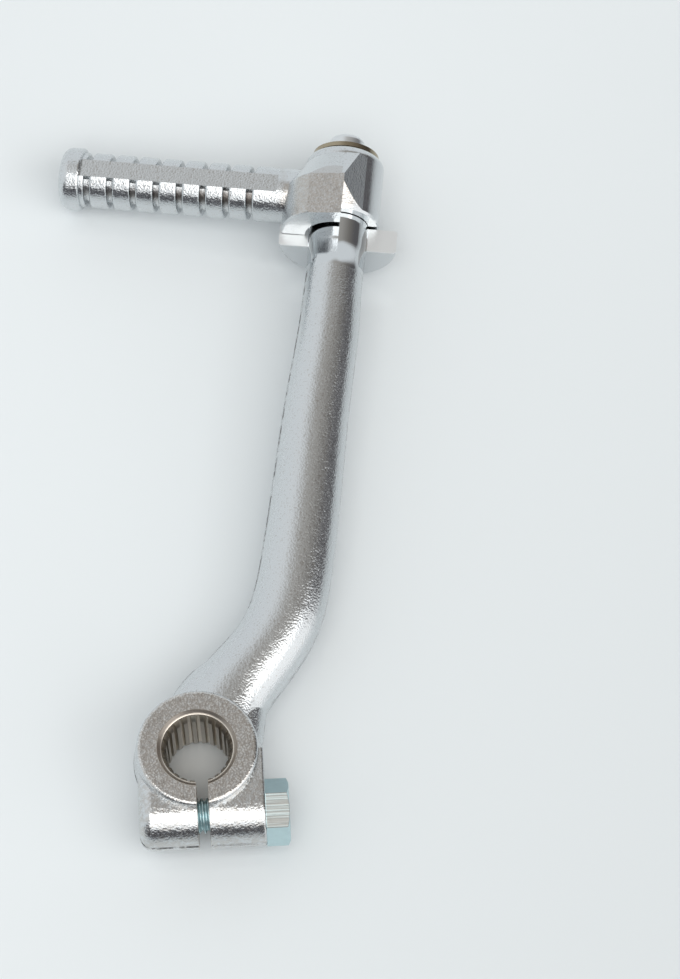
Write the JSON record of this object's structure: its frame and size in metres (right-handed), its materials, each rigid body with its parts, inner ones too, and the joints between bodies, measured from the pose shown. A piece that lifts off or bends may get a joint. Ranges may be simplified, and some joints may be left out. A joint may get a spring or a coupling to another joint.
{
  "type": "kick start lever",
  "caption": "Chrome-plated forged kick start lever with a splined pinch-clamp hub, an S-bent arm and a ribbed foot peg that folds on a turned spigot between stop faces.",
  "frame": {"origin": "on the axis of the splined bore, midway along the hub", "axes": "+Z along the bore towards the outer side of the lever, +Y from the hub towards the pedal, +X towards the bolt's head; the peg is folded towards -X"},
  "size_m": [0.0814, 0.1776, 0.0269],
  "materials": {
    "arm_chrome": "chrome plate over a forged skin, bright on the turned end",
    "pedal_chrome": "chrome plate over a forged skin",
    "zinc_steel": "bluish bright zinc",
    "washer_steel": "yellow zinc",
    "ring_steel": "spring steel",
    "ball_steel": "polished",
    "spring_steel": "bare wire"
  },
  "bodies": {
    "lever": {"lever_arm": "arm_chrome", "pinch_bolt": "zinc_steel", "thrust_washer": "washer_steel", "retaining_ring": "ring_steel", "detent_spring": "spring_steel"},
    "pedal": {"foot_pedal": "pedal_chrome"},
    "ball": {"detent_ball": "ball_steel"}
  },
  "joints": [
    {"name": "pedal_fold", "type": "hinge", "parent": "lever", "child": "pedal", "pos_m": [0.0313, 0.1303, 0.00425], "axis": [0.0872, 0.9962, 0], "range_deg": [0, 86]},
    {"name": "detent_ball_slide", "type": "slide", "parent": "lever", "child": "ball", "axis": [0, 0, -1], "range_m": [-0.0008, 0], "stiffness_N_per_m": 1000, "springref_m": 0.003, "deforming": ["detent_spring"]}
  ]
}
